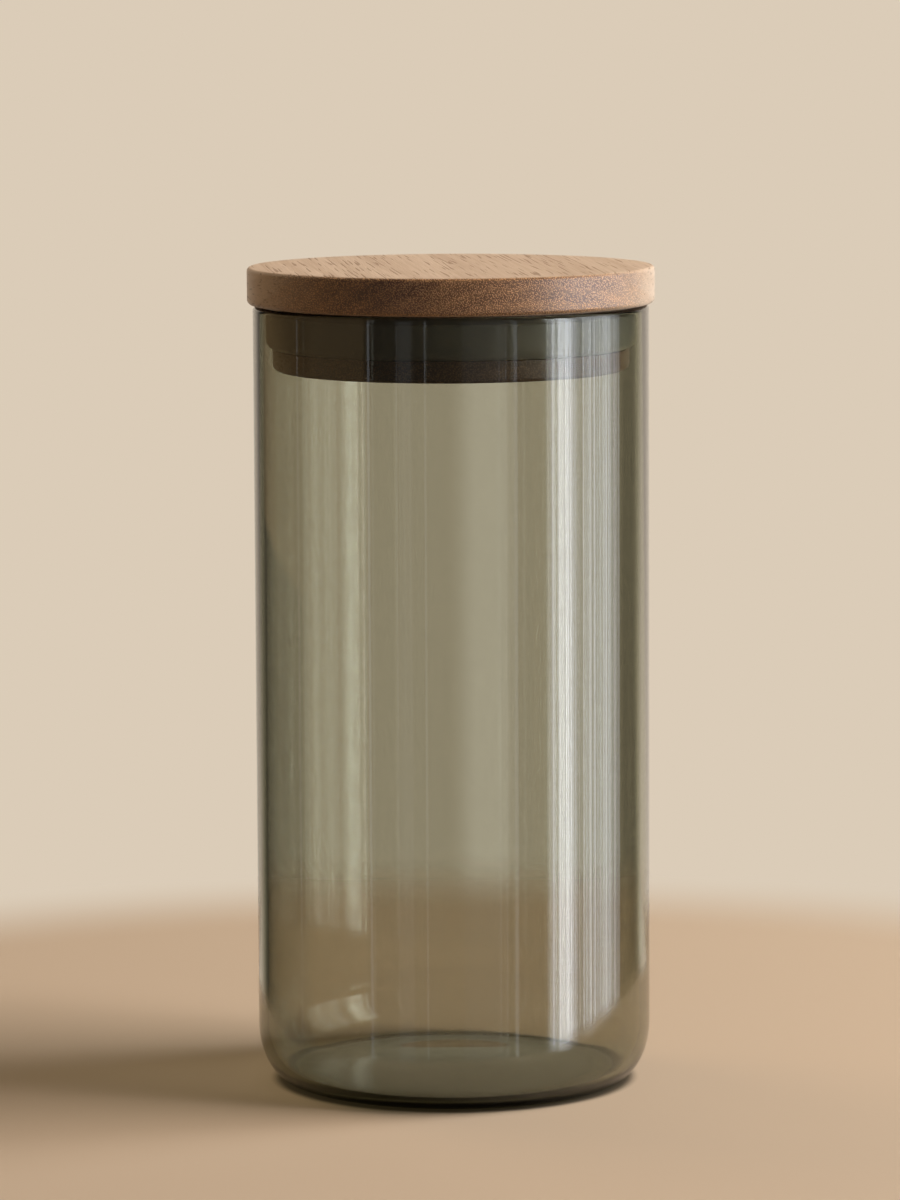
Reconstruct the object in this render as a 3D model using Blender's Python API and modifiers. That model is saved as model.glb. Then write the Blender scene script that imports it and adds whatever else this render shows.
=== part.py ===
"""Glass food storage jar: a straight smoke-grey glass cylinder, a wooden lid whose disc and plug are
turned from one board, and a silicone lip seal that sits in a groove round the plug.

Metres, +Z up. The origin is the centre of the ring that the jar stands on. Each piece is a profile
turned about Z. The lid and its seal hang on one empty at the centre of the rim, on the axis that
the lid lifts along.
"""

import math

import bpy

OBJECT_NAME = "glass_storage_jar"

# Glass body
GLASS_DIAMETER = 0.100
GLASS_HEIGHT = 0.198
GLASS_WALL = 0.0025
HEEL_WIDTH = 0.009
HEEL_HEIGHT = 0.015
FLOOR_THICKNESS = 0.003
FOOT_RING_WIDTH = 0.005
PUSH_UP_HEIGHT = 0.0018

# Wooden lid: the disc covers the rim, the plug hangs in the bore
DISC_OVERHANG = 0.0014
DISC_THICKNESS = 0.0094
DISC_TOP_ROUND = 0.0010
DISC_LOWER_ROUND = 0.0013
PLUG_CLEARANCE = 0.0021
PLUG_DEPTH = 0.0169
PLUG_ROUND = 0.0012
GROOVE_DROP = 0.0016
GROOVE_HEIGHT = 0.0099
GROOVE_DEPTH = 0.0026

# Silicone seal: a band in the groove, and a lip that turns up from its foot and wipes the bore
BAND_THICKNESS = 0.0015
LIP_THICKNESS = 0.0010
LIP_DROP = 0.0004
LIP_CURVE_HEIGHT = 0.0030
ROOT_HEIGHT = 0.0038

# Clearances between pieces that touch
SEAT_GAP = 0.0003
LIP_GAP = 0.0003

# Facets of the round forms
TURN_STEPS = 64
HEEL_STEPS = 9
RIM_STEPS = 8
FLOOR_STEPS = 5
EDGE_STEPS = 3
LIP_CURVE_STEPS = 5
LIP_TIP_STEPS = 4
MERGE_DISTANCE = 0.00001

# Colours, as linear red, green and blue
GLASS_COLOUR = (0.30, 0.31, 0.23)
WOOD_COLOUR = (0.36, 0.22, 0.13)
SILICONE_COLOUR = (0.62, 0.62, 0.56)

# Worked-out radii and heights that more than one piece follows
glass_radius = GLASS_DIAMETER / 2
bore_radius = glass_radius - GLASS_WALL
disc_radius = glass_radius + DISC_OVERHANG
plug_radius = bore_radius - PLUG_CLEARANCE
groove_radius = plug_radius - GROOVE_DEPTH
rim_height = GLASS_HEIGHT


def clear_scene():
    for item in list(bpy.data.objects):
        bpy.data.objects.remove(item, do_unlink=True)


def arc(centre, radii, start, end, steps):
    """Points of an elliptic arc in the profile plane, from start to end in degrees from +X to +Z."""
    points = []
    for step in range(steps + 1):
        angle = math.radians(start + (end - start) * step / steps)
        across = centre[0] + radii[0] * math.cos(angle)
        up = centre[1] + radii[1] * math.sin(angle)
        points.append((across, up))
    return points


def make_material(name, colour, roughness, transmission=0.0):
    material = bpy.data.materials.new(name)
    material.use_nodes = True
    shader = material.node_tree.nodes["Principled BSDF"]
    shader.inputs["Base Color"].default_value = (*colour, 1.0)
    shader.inputs["Roughness"].default_value = roughness
    shader.inputs["Metallic"].default_value = 0.0
    shader.inputs["Transmission Weight"].default_value = transmission
    material.diffuse_color = (*colour, 1.0)
    return material


def turn(name, profile, closed, material, collection):
    """Turns a profile of (radius, height) points about Z. A closed profile is a ring's section."""
    edges = [(index, index + 1) for index in range(len(profile) - 1)]
    if closed:
        edges.append((len(profile) - 1, 0))
    mesh = bpy.data.meshes.new(name)
    mesh.from_pydata([(radius, 0.0, height) for radius, height in profile], edges, [])
    mesh.materials.append(material)
    piece = bpy.data.objects.new(name, mesh)
    collection.objects.link(piece)
    screw = piece.modifiers.new("Turning", "SCREW")
    screw.axis = "Z"
    screw.steps = TURN_STEPS
    screw.render_steps = TURN_STEPS
    screw.use_merge_vertices = True
    screw.merge_threshold = MERGE_DISTANCE
    screw.use_smooth_shade = True
    return piece


def push_up(radius, reach):
    """Height of the floor's shallow dome at a radius, level at its centre and at its reach."""
    return PUSH_UP_HEIGHT * (1 - (radius / reach) ** 2) ** 2


def glass_profile():
    """From the middle of the floor, up the bore, over the rim, down the wall and in under the foot.

    The heel is a quarter of an upright ellipse, the soft corner of hot-formed glass, and the bore
    follows it at the thickness of the wall and of the floor.
    """
    heel_foot = glass_radius - HEEL_WIDTH
    dome_reach = heel_foot - FOOT_RING_WIDTH
    inner_heel = (HEEL_WIDTH - GLASS_WALL, HEEL_HEIGHT - FLOOR_THICKNESS)
    dome = [dome_reach * step / FLOOR_STEPS for step in range(FLOOR_STEPS + 1)]

    floor = [(radius, FLOOR_THICKNESS + push_up(radius, dome_reach)) for radius in dome]
    bore_corner = arc((heel_foot, HEEL_HEIGHT), inner_heel, -90, 0, HEEL_STEPS)
    rim_round = GLASS_WALL / 2
    rim_centre = (bore_radius + rim_round, rim_height - rim_round)
    rim = arc(rim_centre, (rim_round, rim_round), 180, 0, RIM_STEPS)
    heel = arc((heel_foot, HEEL_HEIGHT), (HEEL_WIDTH, HEEL_HEIGHT), 0, -90, HEEL_STEPS)
    underside = [(radius, push_up(radius, dome_reach)) for radius in reversed(dome)]
    return floor + bore_corner + rim + heel + underside


def lid_profile():
    """From the middle of the top, over the disc's edge, along its underside and down the plug.

    Heights are measured from the underside of the disc.
    """
    groove_top = -GROOVE_DROP
    groove_foot = groove_top - GROOVE_HEIGHT
    top_centre = (disc_radius - DISC_TOP_ROUND, DISC_THICKNESS - DISC_TOP_ROUND)
    lower_centre = (disc_radius - DISC_LOWER_ROUND, DISC_LOWER_ROUND)
    plug_centre = (plug_radius - PLUG_ROUND, PLUG_ROUND - PLUG_DEPTH)
    top_edge = arc(top_centre, (DISC_TOP_ROUND, DISC_TOP_ROUND), 90, 0, EDGE_STEPS)
    lower_edge = arc(lower_centre, (DISC_LOWER_ROUND, DISC_LOWER_ROUND), 0, -90, EDGE_STEPS)
    plug_edge = arc(plug_centre, (PLUG_ROUND, PLUG_ROUND), 0, -90, EDGE_STEPS)
    groove = [
        (plug_radius, 0.0),
        (plug_radius, groove_top),
        (groove_radius, groove_top),
        (groove_radius, groove_foot),
        (plug_radius, groove_foot),
    ]
    return [(0.0, DISC_THICKNESS)] + top_edge + lower_edge + groove + plug_edge + [(0.0, -PLUG_DEPTH)]


def seal_profile():
    """Section of the seal, down the outside of the lip, in under its root and up the back of the band.

    Heights are measured from the underside of the disc.
    """
    top = -GROOVE_DROP - SEAT_GAP
    foot = -GROOVE_DROP - GROOVE_HEIGHT + SEAT_GAP
    back = groove_radius + SEAT_GAP
    band_front = back + BAND_THICKNESS
    lip_front = bore_radius - LIP_GAP
    lip_back = lip_front - LIP_THICKNESS
    tip_round = LIP_THICKNESS / 2
    tip_centre = (lip_back + tip_round, top - LIP_DROP - tip_round)
    valley_round = (lip_back - band_front) / 2
    valley_centre = (band_front + valley_round, foot + ROOT_HEIGHT + valley_round)

    tip = arc(tip_centre, (tip_round, tip_round), 180, 0, LIP_TIP_STEPS)
    curve_centre = (plug_radius, foot + LIP_CURVE_HEIGHT)
    curve = arc(curve_centre, (lip_front - plug_radius, LIP_CURVE_HEIGHT), 0, -90, LIP_CURVE_STEPS)
    band = [(back, foot), (back, top), (band_front, top)]
    valley = arc(valley_centre, (valley_round, valley_round), 180, 360, LIP_TIP_STEPS)
    return tip + curve + band + valley


def build():
    clear_scene()
    collection = bpy.data.collections.new(OBJECT_NAME)
    bpy.context.scene.collection.children.link(collection)

    smoke_glass = make_material("smoke_glass", GLASS_COLOUR, roughness=0.02, transmission=0.9)
    oiled_wood = make_material("oiled_wood", WOOD_COLOUR, roughness=0.55)
    clear_silicone = make_material("clear_silicone", SILICONE_COLOUR, roughness=0.45)

    turn("glass_jar", glass_profile(), False, smoke_glass, collection)

    lid_axis = bpy.data.objects.new("lid_lift_axis", None)
    lid_axis.location = (0.0, 0.0, rim_height + SEAT_GAP)
    collection.objects.link(lid_axis)
    wooden_lid = turn("wooden_lid", lid_profile(), False, oiled_wood, collection)
    silicone_seal = turn("silicone_seal", seal_profile(), True, clear_silicone, collection)
    for piece in (wooden_lid, silicone_seal):
        piece.parent = lid_axis


build()
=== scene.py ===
import math

import bpy
from mathutils import Matrix, Vector


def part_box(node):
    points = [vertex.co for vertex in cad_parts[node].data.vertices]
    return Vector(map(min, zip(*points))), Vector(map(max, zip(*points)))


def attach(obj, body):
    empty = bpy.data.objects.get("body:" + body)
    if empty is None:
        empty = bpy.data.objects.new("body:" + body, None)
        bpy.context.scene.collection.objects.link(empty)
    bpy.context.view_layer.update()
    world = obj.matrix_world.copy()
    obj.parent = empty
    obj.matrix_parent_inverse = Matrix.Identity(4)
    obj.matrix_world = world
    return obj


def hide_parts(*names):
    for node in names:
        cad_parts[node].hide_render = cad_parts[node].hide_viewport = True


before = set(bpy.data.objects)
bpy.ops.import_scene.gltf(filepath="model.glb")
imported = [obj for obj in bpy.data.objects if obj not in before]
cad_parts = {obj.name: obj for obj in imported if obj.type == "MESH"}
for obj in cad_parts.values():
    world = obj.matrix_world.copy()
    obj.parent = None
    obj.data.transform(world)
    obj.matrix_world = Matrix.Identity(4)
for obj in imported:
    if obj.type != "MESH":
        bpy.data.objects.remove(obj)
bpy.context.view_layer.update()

# Glass jar
# One piece of smoke grey-green glass, made from a drawn tube. The rim is rounded by fire, and the floor
# is closed hot, with a heel like an upright ellipse and a middle that is pushed up a little, so that the
# jar stands on a flat ring. The tint is in the glass, so thick places look darker.

_, glass_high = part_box("glass_jar")
GLASS_SIZES = {
    "Outside Radius": glass_high.x,
    "Height": glass_high.z,
    "Wall": 0.0025,
    "Heel Width": 0.009,
    "Heel Height": 0.015,
    "Floor Thickness": 0.003,
    "Foot Ring Width": 0.005,
    "Push Up": 0.0018,
}
GLASS_TURN_STEPS = 256
HEEL_POINTS = 28
RIM_POINTS = 18
DOME_POINTS = 20
WELD_DISTANCE = 0.000002

GLASS_IOR = 1.5
GLASS_ABSORPTION = 340.0
GLASS_TINT = (0.479, 0.491, 0.363, 1.0)
SHADOW_TINT = (0.96, 0.96, 0.96, 1.0)
RIPPLE_SCALES = (170.0, 170.0, 1.0)
RIPPLE_DEPTH = 0.0000006


class Wire:
    """A node's output. Python's signs on it add Math nodes, and add() puts any other node in its tree."""

    def __init__(self, tree, socket=None):
        self.tree = tree
        self.socket = socket

    def add(self, kind, settings=None, values=None, output=0):
        """Adds a node: first its settings, then the values or links of its inputs, by name or number."""
        node = self.tree.nodes.new(kind)
        for name, setting in (settings or {}).items():
            setattr(node, name, setting)
        for name, value in (values or {}).items():
            for one in value if isinstance(value, list) else [value]:
                if isinstance(one, Wire):
                    self.tree.links.new(one.socket, node.inputs[name])
                else:
                    node.inputs[name].default_value = one
        return Wire(self.tree, node.outputs[output] if node.outputs else None)

    def math(self, operation, *values):
        return self.add("ShaderNodeMath", {"operation": operation}, dict(enumerate(values)))

    def __add__(self, other):
        return self.math("ADD", self, other)

    def __radd__(self, other):
        return self.math("ADD", other, self)

    def __sub__(self, other):
        return self.math("SUBTRACT", self, other)

    def __rsub__(self, other):
        return self.math("SUBTRACT", other, self)

    def __mul__(self, other):
        return self.math("MULTIPLY", self, other)

    def __rmul__(self, other):
        return self.math("MULTIPLY", other, self)

    def __truediv__(self, other):
        return self.math("DIVIDE", self, other)

    def __rtruediv__(self, other):
        return self.math("DIVIDE", other, self)

    def __pow__(self, other):
        return self.math("POWER", self, other)

    def __neg__(self):
        return self.math("MULTIPLY", self, -1.0)


def point(tree, across, up):
    """A point of a turned section: its distance from the axis and its height."""
    return tree.add("ShaderNodeCombineXYZ", None, {"X": across, "Y": up, "Z": 0.0})


def line(tree, start, end, points=2):
    ends = {"Start": point(tree, *start), "End": point(tree, *end)}
    run = tree.add("GeometryNodeCurvePrimitiveLine", None, ends)
    return tree.add("GeometryNodeResampleCurve", None, {"Curve": run, "Count": points})


def arc(tree, centre, radii, start, end, points):
    """An elliptic arc, from start to end in degrees from outwards towards upwards."""
    angles = {"Start Angle": math.radians(start), "Sweep Angle": math.radians(end - start)}
    unit = tree.add("GeometryNodeCurveArc", None, {"Resolution": points, "Radius": 1.0, **angles})
    place = {"Translation": point(tree, *centre), "Scale": point(tree, *radii)}
    return tree.add("GeometryNodeTransform", None, {"Geometry": unit, **place})


def turned(name, sizes, section, steps, material, sharp_angle=180):
    """Sweeps a section's runs round the axis in Geometry Nodes and returns the result as a plain mesh.

    The section's function gets the tree and its named inputs, and gives back the runs in order. They
    go down on the outside of the piece, so that its faces point outwards. Edges sharper than the angle,
    in degrees, stay sharp.
    """
    group = bpy.data.node_groups.new(name + "_shape", "GeometryNodeTree")
    group.interface.new_socket("Geometry", in_out="OUTPUT", socket_type="NodeSocketGeometry")
    identifiers = {}
    for size in sizes:
        socket = group.interface.new_socket(size, in_out="INPUT", socket_type="NodeSocketFloat")
        identifiers[size] = socket.identifier
    tree = Wire(group)
    inputs = group.nodes.new("NodeGroupInput")
    named = {size: Wire(group, inputs.outputs[size]) for size in sizes}

    # The sweep lays a section on a ring, with its X pointing out of the ring and its Y pointing down
    runs = tree.add("GeometryNodeJoinGeometry", None, {"Geometry": section(tree, named)})
    sweep_radius = max(sizes.values())
    flipped = {"Translation": (-sweep_radius, 0.0, 0.0), "Scale": (1.0, -1.0, 1.0)}
    runs = tree.add("GeometryNodeTransform", None, {"Geometry": runs, **flipped})
    ring = {"Resolution": steps, "Radius": sweep_radius}
    ring = tree.add("GeometryNodeCurvePrimitiveCircle", None, ring)
    swept = tree.add("GeometryNodeCurveToMesh", None, {"Curve": ring, "Profile Curve": runs})
    closed = {"Geometry": swept, "Distance": WELD_DISTANCE}
    closed = tree.add("GeometryNodeMergeByDistance", None, closed)
    real = tree.add("GeometryNodeRealizeInstances", None, {"Geometry": closed})
    dressed = tree.add("GeometryNodeSetMaterial", None, {"Geometry": real, "Material": material})
    tree.add("NodeGroupOutput", None, {"Geometry": dressed})

    piece = bpy.data.objects.new(name, bpy.data.meshes.new(name + "_empty"))
    bpy.context.scene.collection.objects.link(piece)
    modifier = piece.modifiers.new("Turning", "NODES")
    modifier.node_group = group
    for size, value in sizes.items():
        modifier[identifiers[size]] = value
    evaluated = piece.evaluated_get(bpy.context.evaluated_depsgraph_get())
    mesh = bpy.data.meshes.new_from_object(evaluated)
    piece.modifiers.remove(modifier)
    mesh.name = name
    mesh.shade_smooth()
    mesh.set_sharp_from_angle(angle=math.radians(sharp_angle))
    piece.data = mesh
    return piece


def new_material(name):
    """A material with an empty node tree, and a wire to build the tree with."""
    material = bpy.data.materials.new(name)
    material.use_nodes = True
    material.node_tree.nodes.clear()
    return material, Wire(material.node_tree)


def noise(tree, vector, **values):
    return tree.add("ShaderNodeTexNoise", None, {"Vector": vector, **values})


def stretch(tree, vector, scales):
    """Multiplies a vector by three scales, one for each axis."""
    return tree.add("ShaderNodeVectorMath", {"operation": "MULTIPLY"}, {0: vector, 1: scales})


def ray(tree, name):
    """One output of Light Path: what a ray is, or how often it has met a kind of surface."""
    return tree.add("ShaderNodeLightPath", output=name)


def glass_section(tree, size):
    radius = size["Outside Radius"]
    bore = radius - size["Wall"]
    heel_foot = radius - size["Heel Width"]
    dome_reach = heel_foot - size["Foot Ring Width"]
    heel_centre = (heel_foot, size["Heel Height"])
    inner_heel = (size["Heel Width"] - size["Wall"], size["Heel Height"] - size["Floor Thickness"])
    rim_round = size["Wall"] / 2
    rim_low = size["Height"] - rim_round
    floor = size["Floor Thickness"]

    def dome(start, end, level):
        """A run across the floor's shallow dome, level at its middle and at its reach."""
        run = line(tree, (start, level), (end, level), DOME_POINTS)
        position = tree.add("GeometryNodeInputPosition")
        across = tree.add("ShaderNodeSeparateXYZ", None, {"Vector": position}, "X")
        lift = size["Push Up"] * (1 - (across / dome_reach) ** 2) ** 2
        raised = {"Geometry": run, "Offset": point(tree, 0.0, lift)}
        return tree.add("GeometryNodeSetPosition", None, raised)

    return [
        dome(0.0, dome_reach, floor),
        line(tree, (dome_reach, floor), (heel_foot, floor)),
        arc(tree, heel_centre, inner_heel, -90, 0, HEEL_POINTS),
        line(tree, (bore, size["Heel Height"]), (bore, rim_low)),
        arc(tree, (bore + rim_round, rim_low), (rim_round, rim_round), 180, 0, RIM_POINTS),
        line(tree, (radius, rim_low), (radius, size["Heel Height"])),
        arc(tree, heel_centre, (size["Heel Width"], size["Heel Height"]), 0, -90, HEEL_POINTS),
        line(tree, (heel_foot, 0.0), (dome_reach, 0.0)),
        dome(dome_reach, 0.0, 0.0),
    ]


smoke_glass, tree = new_material("smoke_glass")
place = tree.add("ShaderNodeTexCoord", output="Object")
ripple = noise(tree, stretch(tree, place, RIPPLE_SCALES), Scale=1.0, Detail=1.0)
waves = tree.add("ShaderNodeBump", None, {"Strength": 1.0, "Distance": RIPPLE_DEPTH, "Height": ripple})
clear = tree.add(
    "ShaderNodeBsdfPrincipled",
    None,
    {
        "Base Color": (1.0, 1.0, 1.0, 1.0),
        "Roughness": 0.0,
        "IOR": GLASS_IOR,
        "Transmission Weight": 1.0,
        "Normal": waves,
    },
)
open_way = tree.add("ShaderNodeBsdfTransparent", None, {"Color": SHADOW_TINT})
surface = tree.add("ShaderNodeMixShader", None, {0: ray(tree, "Is Shadow Ray"), 1: clear, 2: open_way})
tint = {"Color": GLASS_TINT, "Density": GLASS_ABSORPTION}
tint = tree.add("ShaderNodeVolumeAbsorption", None, tint)
tree.add("ShaderNodeOutputMaterial", None, {"Surface": surface, "Volume": tint})

jar = turned("jar_glass", GLASS_SIZES, glass_section, GLASS_TURN_STEPS, smoke_glass)
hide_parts("glass_jar")
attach(jar, "jar")

# Wooden lid
# A disc and the plug under it, turned from one board of mid-brown hardwood, fine-sanded and oiled. The
# grain runs from front to back, so the front and back of the edge show end grain, which drinks more oil
# and is darker, and the left and right show long grain.

lid_low, lid_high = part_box("wooden_lid")
SEAT_GAP = 0.0003
PLUG_CLEARANCE = 0.0021
plug_radius = GLASS_SIZES["Outside Radius"] - GLASS_SIZES["Wall"] - PLUG_CLEARANCE
LID_SIZES = {
    "Disc Radius": lid_high.x,
    "Disc Underside": glass_high.z + SEAT_GAP,
    "Disc Top": lid_high.z,
    "Top Round": 0.0010,
    "Lower Round": 0.0013,
    "Plug Radius": plug_radius,
    "Plug Bottom": lid_low.z,
    "Plug Round": 0.0012,
    "Groove Depth": 0.0026,
    "Groove Drop": 0.0016,
    "Groove Height": 0.0099,
}
LID_TURN_STEPS = 256
EDGE_POINTS = 8
FACE_POINTS = 12

# The board: which way its grain runs, and where the middle of its tree was
GRAIN_ANGLE = math.radians(-6)
PITH_ACROSS = 0.014
PITH_DEPTH = 0.060
RING_WIDTH = 0.0042
RING_WANDER = 1.6

# How fine each pattern is across, along and through the board, per metre
WANDER_SCALES = (40.0, 9.0, 40.0)
FIBRE_SCALES = (2400.0, 60.0, 2400.0)
STREAK_SCALES = (900.0, 16.0, 900.0)
PATCH_SCALES = (70.0, 25.0, 110.0)
PORE_SCALES = (1700.0, 42.0, 1700.0)
SPECK_SCALES = (3000.0, 70.0, 3000.0)

# The levels of a pattern, or the distances, that a tone starts and ends between
LATE_WOOD_START = (0.25, 0.85)
LATE_WOOD_END = (0.88, 1.0)
STREAK_LEVELS = (0.30, 0.75)
PATCH_LEVELS = (0.38, 0.62)
PORE_LEVELS = (0.335, 0.43)
SPECK_LEVELS = (0.28, 0.52)
END_GRAIN_LEVELS = (0.25, 0.80)
EDGE_LEVELS = (0.3, 0.9)
PORES_THIN_OUT = (-0.015, 0.030)
DISC_ABOVE_RIM = (-0.0004, 0.0002)

# How much each pattern counts in the colour, the relief and the roughness
LATE_WOOD_TONE = 0.40
STREAK_TONE = 0.55
END_SPECK_TONE = 0.80
END_PATCH_TONE = 0.12
END_LATE_WOOD_TONE = 0.12
PORE_TONE = 0.60
PORE_LOSS_ON_END = 0.35
PORE_PATCHINESS = 0.12
PORE_THINNING = 0.02
PLUG_OIL_AND_SHADE = 0.25
PLUG_END_OIL_AND_SHADE = 0.40
FIBRE_HEIGHT = 0.4
SPECK_HEIGHT = 0.2
END_SPECK_HEIGHT = 1.1
RELIEF_DEPTH = 0.00011
SANDED_ROUGHNESS = 0.46
FIBRE_ROUGHNESS = 0.14
PORE_ROUGHNESS = 0.15

WOOD_LIGHT = (0.50, 0.355, 0.245, 1.0)
WOOD_DARK = (0.37, 0.240, 0.152, 1.0)
END_LIGHT = (0.66, 0.335, 0.135, 1.0)
END_DARK = (0.115, 0.042, 0.010, 1.0)
PORE_COLOUR = (0.17, 0.095, 0.052, 1.0)
PLUG_OIL_AND_SHADE_COLOUR = (0.075, 0.032, 0.012, 1.0)


def mix(tree, factor, first, second):
    """Mixes two colours."""
    return tree.add("ShaderNodeMix", {"data_type": "RGBA"}, {"Factor": factor, 6: first, 7: second}, 2)


def rise(tree, value, low, high):
    """0 below low, 1 above high, with a smooth rise between them."""
    settings = {"interpolation_type": "SMOOTHSTEP"}
    values = {"Value": value, "From Min": low, "From Max": high}
    return tree.add("ShaderNodeMapRange", settings, values)


def between(tree, value, start, end):
    """1 between two edges, where each edge is a pair of levels that it rises or falls over."""
    return rise(tree, value, *start) * (1 - rise(tree, value, *end))


def unsigned(value):
    """A value without its sign."""
    return value.math("ABSOLUTE", value)


def lid_section(tree, size):
    radius = size["Disc Radius"]
    top = size["Disc Top"]
    under = size["Disc Underside"]
    top_round = size["Top Round"]
    low_round = size["Lower Round"]
    plug = size["Plug Radius"]
    plug_foot = size["Plug Bottom"]
    plug_round = size["Plug Round"]
    groove = plug - size["Groove Depth"]
    groove_top = under - size["Groove Drop"]
    groove_foot = groove_top - size["Groove Height"]
    top_centre = (radius - top_round, top - top_round)
    low_centre = (radius - low_round, under + low_round)
    plug_centre = (plug - plug_round, plug_foot + plug_round)
    return [
        line(tree, (0.0, top), (top_centre[0], top), FACE_POINTS),
        arc(tree, top_centre, (top_round, top_round), 90, 0, EDGE_POINTS),
        line(tree, (radius, top_centre[1]), (radius, low_centre[1])),
        arc(tree, low_centre, (low_round, low_round), 0, -90, EDGE_POINTS),
        line(tree, (low_centre[0], under), (plug, under)),
        line(tree, (plug, under), (plug, groove_top)),
        line(tree, (plug, groove_top), (groove, groove_top)),
        line(tree, (groove, groove_top), (groove, groove_foot)),
        line(tree, (groove, groove_foot), (plug, groove_foot)),
        line(tree, (plug, groove_foot), (plug, plug_centre[1])),
        arc(tree, plug_centre, (plug_round, plug_round), 0, -90, EDGE_POINTS),
        line(tree, (plug_centre[0], plug_foot), (0.0, plug_foot), FACE_POINTS),
    ]


oiled_wood, tree = new_material("oiled_wood")
place = tree.add("ShaderNodeTexCoord", output="Object")
facing = tree.add("ShaderNodeTexCoord", output="Normal")
board = tree.add("ShaderNodeMapping", None, {"Vector": place, "Rotation": (0.0, 0.0, GRAIN_ANGLE)})
across = tree.add("ShaderNodeSeparateXYZ", None, {"Vector": board}, "X")
up = tree.add("ShaderNodeSeparateXYZ", None, {"Vector": board}, "Z")
over_rim = up - glass_high.z

wander = noise(tree, stretch(tree, board, WANDER_SCALES), Scale=1.0, Detail=3.0)
from_pith = ((across - PITH_ACROSS) ** 2 + (over_rim + PITH_DEPTH) ** 2) ** 0.5
ring_count = from_pith / RING_WIDTH + wander * RING_WANDER
ring = ring_count.math("FRACT", ring_count)
late_wood = between(tree, ring, LATE_WOOD_START, LATE_WOOD_END)

fibre = noise(tree, stretch(tree, board, FIBRE_SCALES), Scale=1.0, Detail=1.0, Roughness=0.6)
streak = noise(tree, stretch(tree, board, STREAK_SCALES), Scale=1.0, Detail=3.0, Roughness=0.6)
patch = noise(tree, stretch(tree, board, PATCH_SCALES), Scale=1.0, Detail=2.0)
vessel = noise(tree, stretch(tree, board, PORE_SCALES), Scale=1.0, Detail=0.0)
thinning = rise(tree, across, *PORES_THIN_OUT) * PORE_THINNING
pore = 1 - rise(tree, vessel + patch * PORE_PATCHINESS + thinning, *PORE_LEVELS)
cells = {"Vector": stretch(tree, board, SPECK_SCALES), "Scale": 1.0, "Randomness": 1.0}
cell = tree.add("ShaderNodeTexVoronoi", {"feature": "F1"}, cells, "Distance")
speck = 1 - rise(tree, cell, *SPECK_LEVELS)

grain_way = (math.sin(GRAIN_ANGLE), math.cos(GRAIN_ANGLE), 0.0)
end_dot = tree.add("ShaderNodeVectorMath", {"operation": "DOT_PRODUCT"}, {0: facing, 1: grain_way}, "Value")
end_grain = rise(tree, unsigned(end_dot), *END_GRAIN_LEVELS)

long_tone = late_wood * LATE_WOOD_TONE + rise(tree, streak, *STREAK_LEVELS) * STREAK_TONE
end_tone = speck * END_SPECK_TONE + rise(tree, patch, *PATCH_LEVELS) * END_PATCH_TONE
end_tone = end_tone + late_wood * END_LATE_WOOD_TONE
long_colour = mix(tree, long_tone, WOOD_LIGHT, WOOD_DARK)
end_colour = mix(tree, end_tone, END_DARK, END_LIGHT)
colour = mix(tree, end_grain, long_colour, end_colour)
colour = mix(tree, pore * (PORE_TONE - end_grain * PORE_LOSS_ON_END), colour, PORE_COLOUR)
# The plug under the disc, inside the glass, is painted darker: partly its end grain drinking more oil, and
# partly painted shade
on_plug = 1 - rise(tree, over_rim, *DISC_ABOVE_RIM)
colour = mix(tree, on_plug * (PLUG_OIL_AND_SHADE + end_grain * PLUG_END_OIL_AND_SHADE), colour, PLUG_OIL_AND_SHADE_COLOUR)
level = tree.add("ShaderNodeSeparateXYZ", None, {"Vector": facing}, "Z")
on_edge = 1 - rise(tree, unsigned(level), *EDGE_LEVELS)
height = fibre * FIBRE_HEIGHT + speck * (SPECK_HEIGHT + end_grain * END_SPECK_HEIGHT) - pore
relief = tree.add("ShaderNodeBump", None, {"Strength": 0.8, "Distance": RELIEF_DEPTH, "Height": height})
wood_shader = tree.add(
    "ShaderNodeBsdfPrincipled",
    None,
    {
        "Base Color": colour,
        "Roughness": SANDED_ROUGHNESS + fibre * FIBRE_ROUGHNESS + pore * PORE_ROUGHNESS,
        "Specular IOR Level": 0.35,
        "Coat Weight": on_edge,
        "Coat Roughness": 0.45,
        "Coat IOR": 1.6,
        "Normal": relief,
    },
)
tree.add("ShaderNodeOutputMaterial", None, {"Surface": wood_shader})

lid = turned("turned_lid", LID_SIZES, lid_section, LID_TURN_STEPS, oiled_wood, sharp_angle=40)
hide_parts("wooden_lid")
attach(lid, "lid")

# Silicone seal
# One moulded ring of cloudy silicone. Its band sits in the plug's groove, and from the band's foot a
# thin lip turns up and leans on the bore, which is all that holds the lid.

seal_low, seal_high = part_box("silicone_seal")
SEAL_SIZES = {
    "Top": seal_high.z,
    "Foot": seal_low.z,
    "Root Height": 0.0038,
    "Band Back": plug_radius - LID_SIZES["Groove Depth"] + SEAT_GAP,
    "Band Thickness": 0.0015,
    "Lip Radius": seal_high.x,
    "Lip Thickness": 0.0010,
    "Lip Drop": 0.0004,
    "Lip Root": plug_radius,
    "Lip Curve Height": 0.0030,
}
SEAL_TURN_STEPS = 256

CLOUD_SCALE = 160.0
CLOUD_DARK = (0.74, 0.65, 0.53, 1.0)
CLOUD_PALE = (0.84, 0.76, 0.63, 1.0)
SKIN_SCALE = 2500.0
SKIN_DEPTH = 0.00004
SKIN_ROUGHNESS = 0.15
MOULDED_ROUGHNESS = 0.38


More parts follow.
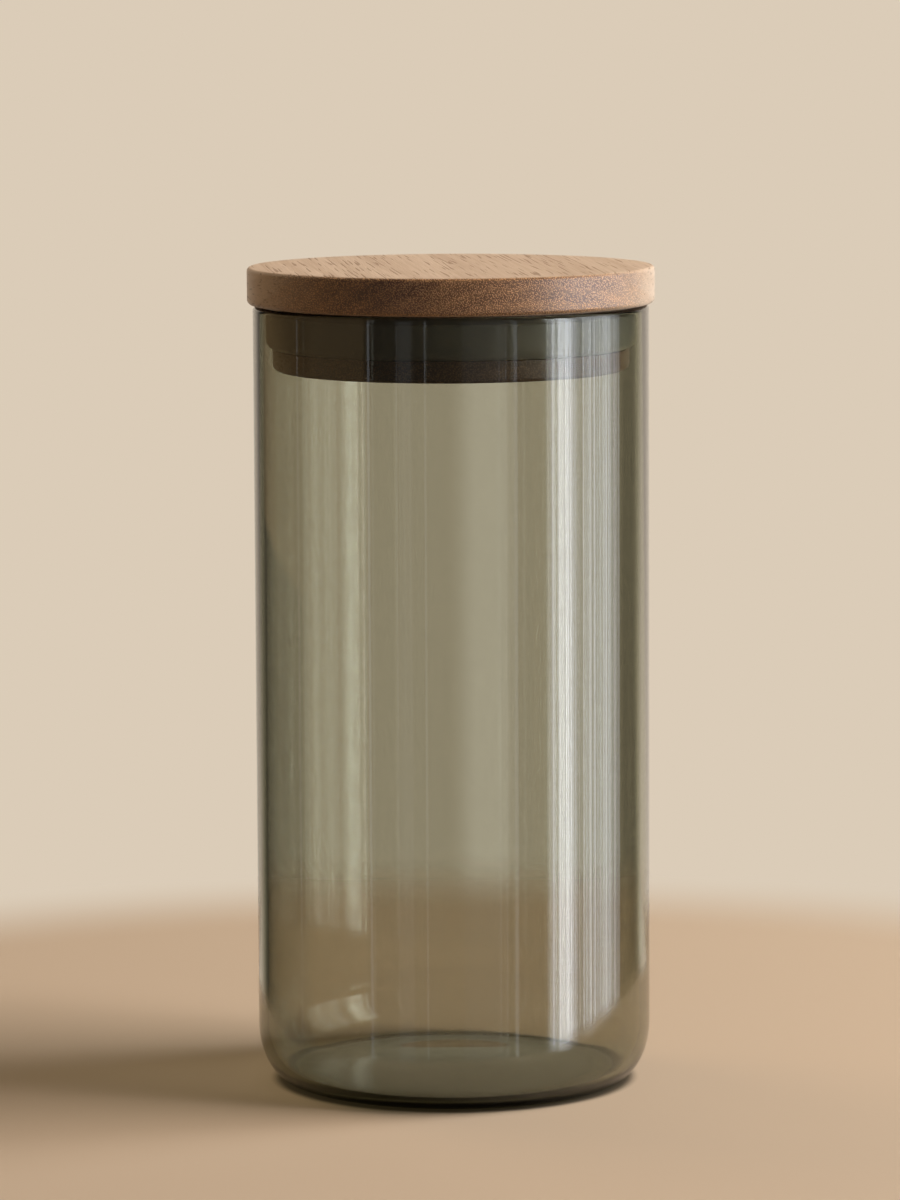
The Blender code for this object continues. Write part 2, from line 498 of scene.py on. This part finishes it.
def seal_section(tree, size):
    top = size["Top"]
    foot = size["Foot"]
    back = size["Band Back"]
    front = back + size["Band Thickness"]
    lip = size["Lip Radius"]
    lip_back = lip - size["Lip Thickness"]
    root = size["Lip Root"]
    tip_round = size["Lip Thickness"] / 2
    tip_centre = (lip_back + tip_round, top - size["Lip Drop"] - tip_round)
    curve_centre = (root, foot + size["Lip Curve Height"])
    curve_radii = (lip - root, size["Lip Curve Height"])
    valley_round = (lip_back - front) / 2
    valley_centre = (front + valley_round, foot + size["Root Height"] + valley_round)
    return [
        arc(tree, tip_centre, (tip_round, tip_round), 180, 0, EDGE_POINTS),
        line(tree, (lip, tip_centre[1]), (lip, curve_centre[1])),
        arc(tree, curve_centre, curve_radii, 0, -90, EDGE_POINTS),
        line(tree, (root, foot), (back, foot)),
        line(tree, (back, foot), (back, top)),
        line(tree, (back, top), (front, top)),
        line(tree, (front, top), (front, valley_centre[1])),
        arc(tree, valley_centre, (valley_round, valley_round), 180, 360, EDGE_POINTS),
        line(tree, (lip_back, valley_centre[1]), (lip_back, tip_centre[1])),
    ]


clear_silicone, tree = new_material("clear_silicone")
place = tree.add("ShaderNodeTexCoord", output="Object")
cloud = noise(tree, place, Scale=CLOUD_SCALE, Detail=3.0)
skin = noise(tree, place, Scale=SKIN_SCALE, Detail=2.0)
dimple = tree.add("ShaderNodeBump", None, {"Strength": 0.3, "Distance": SKIN_DEPTH, "Height": skin})
rubber = tree.add(
    "ShaderNodeBsdfPrincipled",
    None,
    {
        "Base Color": mix(tree, cloud, CLOUD_DARK, CLOUD_PALE),
        "Roughness": MOULDED_ROUGHNESS + skin * SKIN_ROUGHNESS,
        "IOR": 1.41,
        "Transmission Weight": 0.80,
        "Sheen Weight": 0.6,
        "Sheen Roughness": 0.4,
        "Sheen Tint": (1.0, 0.82, 0.58, 1.0),
        "Normal": dimple,
    },
)
tree.add("ShaderNodeOutputMaterial", None, {"Surface": rubber})

seal = turned("lip_seal", SEAL_SIZES, seal_section, SEAL_TURN_STEPS, clear_silicone, sharp_angle=40)
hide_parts("silicone_seal")
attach(seal, "lid")

# Stage
# A plain pale floor that fades into a plain warm background. The glass mirrors the floor close to the
# jar and a dim room with a pale wall behind the jar and two darker ones on its left, so that it keeps
# dark edges and clear streaks. Straight through the glass, the background has soft shades and a glow.

FLOOR_REACH = 4.0

# Distances from the jar's axis that the floor's fade and the painted shadow under the heel start and end
# between
FADE = (0.22, 0.31)
CONTACT_START = (0.0405, 0.0420)
CONTACT_END = (0.0440, 0.0475)
CONTACT_SHADE = 0.9

# The round part of the floor that the glass mirrors, and the distances from its centre that it ends over
NEAR_CENTRE = (0.02, 0.04, 0.0)
NEAR_END = (0.12, 0.15)

BACKGROUND = (0.708, 0.604, 0.479, 1.0)
FLOOR_COLOUR = (0.45, 0.335, 0.235, 1.0)
# The floor seen through the glass is painted lighter: painted light for the strips' light that its rays
# through the glass don't get
FLOOR_PAINTED_LIGHTER_THROUGH_GLASS = (0.52, 0.387, 0.272, 1.0)
ROOM_LIGHT = (0.075, 0.060, 0.048, 1.0)
DIM_ROOM = (0.024, 0.020, 0.017, 1.0)
FRONT_ROOM = (0.075, 0.066, 0.056, 1.0)
LEFT_WALL = (0.36, 0.25, 0.14, 1.0)
SUNNY_WALL = (1.0, 0.86, 0.70, 1.0)
SIDE_WALL = (0.36, 0.235, 0.11, 1.0)
GLOW = (0.96, 0.85, 0.73, 1.0)
SHADED = (0.49, 0.41, 0.315, 1.0)
FAR_FLOOR = (0.06, 0.045, 0.03, 1.0)

# Bearings that a wall, a shade or the glow starts and ends between, in degrees from straight behind
PALE_WALL_START = (-37.0, -21.0)
PALE_WALL_END = (33.0, 45.0)
SUNNY_WALL_START = (-5.0, 25.0)
LEFT_WALL_START = (-131.0, -126.0)
LEFT_WALL_END = (-92.0, -78.0)
SIDE_WALL_START = (-100.0, -78.0)
SIDE_WALL_END = (-45.0, -35.0)
FRONT_ROOM_START = (95.0, 125.0)
GLOW_START = (-0.15, 0.6)
GLOW_END = (1.05, 1.5)
RIGHT_SHADE_START = (7.2, 9.6)
RIGHT_SHADE_END = (15.0, 21.0)
LEFT_SHADE_END = (19.0, 26.0)

# The left shade starts in two steps, each with how much it adds
LEFT_SHADE_STEPS = [((4.4, 5.6), 0.3), ((7.4, 9.8), 0.65)]

# The side wall's foot, as the upward part of a direction
SIDE_WALL_FOOT = (-0.089, -0.083)


def either(first, second):
    return first.math("MAXIMUM", first, second)


def after(tree, kind):
    """1 for a ray that has met that kind of surface on its way, so also once it has left the glass."""
    bounces = ray(tree, kind)
    return bounces.math("GREATER_THAN", bounces, 0.5)


def mirrored_ray(tree):
    """1 for a ray that a smooth face has mirrored and no matt face has scattered."""
    return after(tree, "Glossy Depth") * (1 - after(tree, "Diffuse Depth"))


def bearing(tree, direction):
    """The angle of a direction from straight behind the jar, in degrees, growing to the right."""
    across = tree.add("ShaderNodeSeparateXYZ", None, {"Vector": direction}, "X")
    along = tree.add("ShaderNodeSeparateXYZ", None, {"Vector": direction}, "Y")
    return across.math("ARCTAN2", across, along) * math.degrees(1)


def pale_wall(tree, direction):
    """1 towards the pale wall behind the jar, and 0 towards the rest of the room."""
    return between(tree, bearing(tree, direction), PALE_WALL_START, PALE_WALL_END)


def wall_through_glass(tree, turn):
    """The background as the glass shows it: a soft glow in the middle, and shade on both sides."""
    shade = between(tree, turn, RIGHT_SHADE_START, RIGHT_SHADE_END)
    for start, added in LEFT_SHADE_STEPS:
        shade = shade + between(tree, -turn, start, LEFT_SHADE_END) * added
    wall = mix(tree, shade, BACKGROUND, SHADED)
    return mix(tree, between(tree, turn, GLOW_START, GLOW_END), wall, GLOW)


floor_mesh = bpy.data.meshes.new("floor")
corners = [(-1, -1), (1, -1), (1, 1), (-1, 1)]
floor_mesh.from_pydata([(x * FLOOR_REACH, y * FLOOR_REACH, 0.0) for x, y in corners], [], [(0, 1, 2, 3)])
floor = bpy.data.objects.new("floor", floor_mesh)
bpy.context.scene.collection.objects.link(floor)

floor_paint, tree = new_material("floor_paint")
place = tree.add("ShaderNodeTexCoord", output="Object")
distance = tree.add("ShaderNodeVectorMath", {"operation": "LENGTH"}, {0: place}, "Value")
gloss_ray = mirrored_ray(tree)
through = ray(tree, "Is Transmission Ray")
fade = rise(tree, distance, *FADE)
# The ring of floor just under the heel is painted dark, a painted shadow for the light that the heel bends
# away
painted_heel_shadow = between(tree, distance, CONTACT_START, CONTACT_END)
clean_floor = mix(tree, through, FLOOR_COLOUR, FLOOR_PAINTED_LIGHTER_THROUGH_GLASS)
lit_floor = mix(tree, painted_heel_shadow * CONTACT_SHADE, clean_floor, FAR_FLOOR)
seen = either(either(ray(tree, "Is Camera Ray"), through), gloss_ray)
far_colour = mix(tree, fade * (1 - seen), lit_floor, FAR_FLOOR)
matt = tree.add("ShaderNodeBsdfDiffuse", None, {"Color": far_colour})
haze = tree.add("ShaderNodeEmission", None, {"Color": BACKGROUND})
paint = tree.add("ShaderNodeMixShader", None, {0: ray(tree, "Is Camera Ray") * fade, 1: matt, 2: haze})
near = tree.add("ShaderNodeVectorMath", {"operation": "DISTANCE"}, {0: place, 1: NEAR_CENTRE}, "Value")
far_room = gloss_ray * rise(tree, near, *NEAR_END) * (1 - pale_wall(tree, place))
left_out = either(far_room, either(through, gloss_ray) * fade)
nothing = tree.add("ShaderNodeBsdfTransparent")
surface = tree.add("ShaderNodeMixShader", None, {0: left_out, 1: paint, 2: nothing})
tree.add("ShaderNodeOutputMaterial", None, {"Surface": surface})
floor_mesh.materials.append(floor_paint)

world = bpy.data.worlds.new("room")
bpy.context.scene.world = world
world.use_nodes = True
world.node_tree.nodes.clear()
tree = Wire(world.node_tree)
direction = tree.add("ShaderNodeTexCoord", output="Generated")
through = ray(tree, "Is Transmission Ray")
mirrored = after(tree, "Glossy Depth")
scattered = after(tree, "Diffuse Depth")
seen = either(either(ray(tree, "Is Camera Ray"), ray(tree, "Is Glossy Ray")), through)
turn = bearing(tree, direction)
level = tree.add("ShaderNodeSeparateXYZ", None, {"Vector": direction}, "Z")
panorama = mix(tree, rise(tree, unsigned(turn), *FRONT_ROOM_START), DIM_ROOM, FRONT_ROOM)
panorama = mix(tree, between(tree, turn, LEFT_WALL_START, LEFT_WALL_END), panorama, LEFT_WALL)
side_wall = between(tree, turn, SIDE_WALL_START, SIDE_WALL_END) * rise(tree, level, *SIDE_WALL_FOOT)
panorama = mix(tree, side_wall, panorama, SIDE_WALL)
behind = mix(tree, rise(tree, turn, *SUNNY_WALL_START), BACKGROUND, SUNNY_WALL)
panorama = mix(tree, pale_wall(tree, direction), panorama, behind)
plain = mix(tree, through, BACKGROUND, wall_through_glass(tree, turn))
view = mix(tree, mirrored, plain, panorama)
colour = mix(tree, seen, ROOM_LIGHT, view)
sky = tree.add("ShaderNodeBackground", None, {"Color": colour, "Strength": 1 - through * scattered})
tree.add("ShaderNodeOutputWorld", None, {"Surface": sky})

# Lights
# Upright strip softboxes to the right of the jar, with fine folds like a gathered curtain, and weaker
# plain ones in front of it. The glass mirrors them as straight pale streaks. A broad softbox on the
# right is the key, others wash the left, the right edge and the back, and the glass doesn't show these.

STRIP_DISTANCE = 1.3
STRIP_LOW = -0.45
STRIP_HIGH = 0.90
CURTAIN_START = 55.0

# Each strip's name, its two sides in degrees round to the right of the camera, and its radiance
STRIPS = [
    ("far_left_line", -99.2, -98.2, 0.5),
    ("left_line", -48.5, -47.0, 1.0),
    ("left_fine_line", -31.2, -30.6, 0.6),
    ("left_band", -30.0, -22.5, 0.20),
    ("left_thin_line", -15.2, -14.4, 0.8),
    ("front_band", 6.0, 32.0, 0.12),
    ("front_fine_line", 26.6, 27.2, 0.7),
    ("front_thin_line", 30.4, 31.0, 0.7),
    ("front_line", 35.5, 37.5, 1.1),
    ("curtain_hem", 55.2, 57.8, 1.0),
    ("curtain_edge", 57.8, 60.2, 5.0),
    ("curtain_fold", 60.2, 62.9, 3.2),
    ("window_edge", 62.9, 67.1, 7.2),
    ("window", 67.1, 71.7, 9.2),
    ("window_side", 71.7, 75.7, 5.4),
    ("sheer_1", 75.7, 80.3, 1.6),
    ("sheer_2", 80.3, 84.9, 3.4),
    ("sheer_3", 84.9, 86.9, 4.6),
    ("sheer_4", 86.9, 88.2, 2.3),
    ("sheer_5", 88.2, 90.2, 4.0),
    ("sheer_6", 90.2, 96.2, 2.6),
    ("sheer_7", 96.2, 101.1, 4.3),
    ("sheer_8", 101.1, 104.4, 3.1),
    ("sheer_9", 104.4, 106.4, 1.3),
    ("sheer_10", 106.4, 108.3, 3.2),
    ("sheer_11", 108.3, 112.4, 1.3),
]
DAYLIGHT = (0.88, 0.92, 1.0)
WARM_WHITE = (1.0, 0.95, 0.88)
LAMPLIGHT = (1.0, 0.80, 0.56)
SKYLIGHT = (0.64, 0.84, 1.0)

FOLDS_PER_DEGREE = 0.9
FOLD_LEVELS = (0.3, 0.7)
FOLD_DIMMEST = 0.45
FOLD_GAIN = 1.1
FACES_OF_TWO_WALLS = 4

# Each broad softbox's name, azimuth, elevation, width and height, radiance and colour
BROAD_SOFTBOXES = [
    ("key", 88, 49, 0.9, 11.6, WARM_WHITE),
    ("left_wash", -130, 20, 0.9, 3.8, LAMPLIGHT),
    ("back_wash", 180, 25, 0.9, 0.8, WARM_WHITE),
    ("side_sheen", 108, 8, 0.6, 19.0, SKYLIGHT),
]
BROAD_DISTANCE = 1.6
JAR_MIDDLE = (0.0, 0.0, 0.1)


def softbox(name, azimuth, elevation, distance, width, height, radiance, colour, target):
    """An area lamp, azimuth degrees round to the right of the camera, that looks at the target."""
    lamp = bpy.data.lights.new(name, "AREA")
    lamp.shape = "RECTANGLE"
    lamp.size = width
    lamp.size_y = height
    lamp.energy = radiance * math.pi * width * height
    lamp.color = colour
    box = bpy.data.objects.new(name, lamp)
    bpy.context.scene.collection.objects.link(box)
    turn, tilt = math.radians(azimuth), math.radians(elevation)
    way = Vector((math.sin(turn) * math.cos(tilt), -math.cos(turn) * math.cos(tilt), math.sin(tilt)))
    box.location = Vector(target) + way * distance
    box.rotation_euler = (-way).to_track_quat("-Z", "Y").to_euler()
    box.visible_camera = False
    return box


def folds(box, start, end):
    """Breaks a strip's light into the fine upright lines of a gathered curtain.

    A ray that goes straight through both walls of the glass doesn't see it, so that the jar isn't
    drowned in its light from the other side.
    """
    box.data.use_nodes = True
    box.data.node_tree.nodes.clear()
    tree = Wire(box.data.node_tree)
    spot = tree.add("ShaderNodeNewGeometry", output="Parametric")
    across = tree.add("ShaderNodeSeparateXYZ", None, {"Vector": spot}, "X")
    place = start + across * (end - start)
    pattern = {"W": place, "Scale": FOLDS_PER_DEGREE, "Detail": 2.0}
    fold = tree.add("ShaderNodeTexNoise", {"noise_dimensions": "1D"}, pattern)
    faces_passed = ray(tree, "Transmission Depth")
    past_both_walls = faces_passed.math("GREATER_THAN", faces_passed, FACES_OF_TWO_WALLS - 0.5)
    straight_through = past_both_walls * (1 - after(tree, "Glossy Depth"))
    strength = (FOLD_DIMMEST + rise(tree, fold, *FOLD_LEVELS) * FOLD_GAIN) * (1 - straight_through)
    glow = tree.add("ShaderNodeEmission", None, {"Strength": strength})
    tree.add("ShaderNodeOutputLight", None, {"Surface": glow})


strip_middle = (0.0, 0.0, (STRIP_LOW + STRIP_HIGH) / 2)
for name, start, end, radiance in STRIPS:
    size = (STRIP_DISTANCE * math.radians(end - start), STRIP_HIGH - STRIP_LOW)
    strip = softbox(name, (start + end) / 2, 0, STRIP_DISTANCE, *size, radiance, DAYLIGHT, strip_middle)
    if start >= CURTAIN_START:
        folds(strip, start, end)
for name, azimuth, elevation, width, radiance, colour in BROAD_SOFTBOXES:
    box = softbox(name, azimuth, elevation, BROAD_DISTANCE, width, width, radiance, colour, JAR_MIDDLE)
    box.visible_glossy = False
    box.visible_transmission = False

# Camera
# A long lens a little above the lid, as in the photograph, that looks down by seven degrees. Its place
# and length come from a fit to the outlines of the lid and the glass, for a picture 1200 pixels high.

PHOTO_HEIGHT = 1200
SENSOR_HEIGHT = 24.0
FOCAL_PIXELS = 5653.9
CAMERA_DISTANCE = 1.4249
CAMERA_HEIGHT = 0.2952
CAMERA_PITCH = 0.1204
CAMERA_ROLL = -0.0049
CAMERA_TURN = 0.0004

lens = bpy.data.cameras.new("camera")
lens.sensor_fit = "VERTICAL"
lens.sensor_height = SENSOR_HEIGHT
lens.lens = FOCAL_PIXELS / PHOTO_HEIGHT * SENSOR_HEIGHT
camera = bpy.data.objects.new("camera", lens)
bpy.context.scene.collection.objects.link(camera)
tilt = Matrix.Rotation(math.pi / 2 - CAMERA_PITCH, 4, "X") @ Matrix.Rotation(CAMERA_ROLL, 4, "Z")
turn = Matrix.Rotation(CAMERA_TURN, 4, "Z")
camera.matrix_world = Matrix.Translation((0.0, -CAMERA_DISTANCE, CAMERA_HEIGHT)) @ turn @ tilt
bpy.context.scene.camera = camera
bpy.context.scene.view_settings.view_transform = "Standard"
